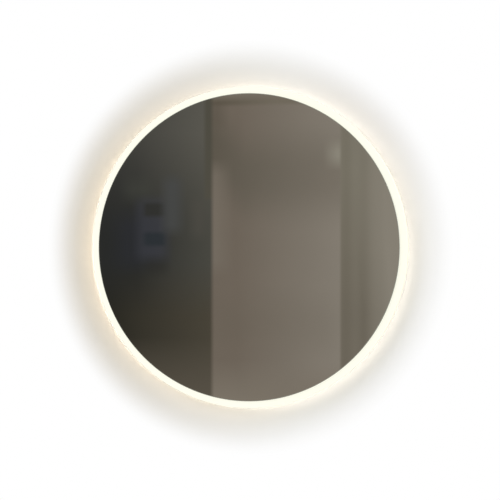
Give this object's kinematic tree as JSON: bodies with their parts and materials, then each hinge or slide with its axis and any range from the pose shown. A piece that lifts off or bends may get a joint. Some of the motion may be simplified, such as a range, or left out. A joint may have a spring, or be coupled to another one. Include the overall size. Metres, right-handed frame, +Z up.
{
  "type": "lighted bathroom mirror",
  "caption": "Round wall mirror with a lit opal ring round its glass, a backlit halo, and a hook that hangs on a wall rail.",
  "frame": {"origin": "on the wall plane, halfway between the wall rail's two screw holes", "axes": "+Z up, +X to the right as seen from the room, -Y out of the wall towards the room (the glass faces -Y)"},
  "size_m": [0.5999, 0.04, 0.6],
  "materials": {
    "silvered_glass": "float glass, silvered at the back, polished arris",
    "foam_bond": "closed-cell bonding foam",
    "opal_acrylic": "opal cast acrylic, satin",
    "mill_aluminium": "mill finish",
    "strip_laminate": "white flexible laminate",
    "chip_phosphor": "phosphor under clear resin",
    "white_polyamide": "moulded, fine grain",
    "white_polycarbonate": "moulded, fine grain",
    "black_rubber": "moulded, matt",
    "galvanised_steel": "hot-dip galvanised, fine spangle",
    "zinc_plated_steel": "zinc plated",
    "brass_tube": "turned",
    "circuit_board": "solder mask with components",
    "brown_insulation": "extruded",
    "blue_insulation": "extruded",
    "green_insulation": "extruded, green and yellow",
    "red_insulation": "extruded",
    "black_insulation": "extruded",
    "tinned_copper": "tinned"
  },
  "bodies": {
    "wall_rail": {"wall_rail": "galvanised_steel"},
    "mirror": {"mirror_glass": "silvered_glass", "mirror_tape": "foam_bond", "opal_front_ring": "opal_acrylic", "opal_rear_ring": "opal_acrylic", "led_channel": "mill_aluminium", "channel_joint_plate": "mill_aluminium", "joint_rivets": "mill_aluminium", "led_strip": "strip_laminate", "led_chips": "chip_phosphor", "strip_connector": "white_polyamide", "lead_bushing": "black_rubber", "back_pan": "galvanised_steel", "pan_screws": "zinc_plated_steel", "hanger_bar": "galvanised_steel", "hanger_rivets": "mill_aluminium", "wall_bumpers": "black_rubber", "access_cover": "galvanised_steel", "cover_screws": "zinc_plated_steel", "cable_grommet": "black_rubber", "terminal_box": "white_polyamide", "cord_clamp": "white_polyamide", "clamp_screws": "zinc_plated_steel", "terminal_block": "white_polyamide", "terminal_tubes": "brass_tube", "terminal_screws": "zinc_plated_steel", "driver_case": "white_polycarbonate", "driver_lid": "white_polycarbonate", "driver_board": "circuit_board", "driver_screws": "zinc_plated_steel", "live_lead": "brown_insulation", "neutral_lead": "blue_insulation", "earth_lead": "green_insulation", "strip_lead_plus": "red_insulation", "strip_lead_minus": "black_insulation", "lead_clip_1": "white_polyamide", "lead_clip_2": "white_polyamide", "lead_clip_3": "white_polyamide", "earth_pillar": "brass_tube", "earth_tag": "tinned_copper", "earth_nut": "zinc_plated_steel"}
  },
  "joints": [
    {"name": "mirror_lift", "type": "slide", "parent": "wall_rail", "child": "mirror", "axis": [0, 0, 1], "range_m": [0, 0.009]}
  ]
}
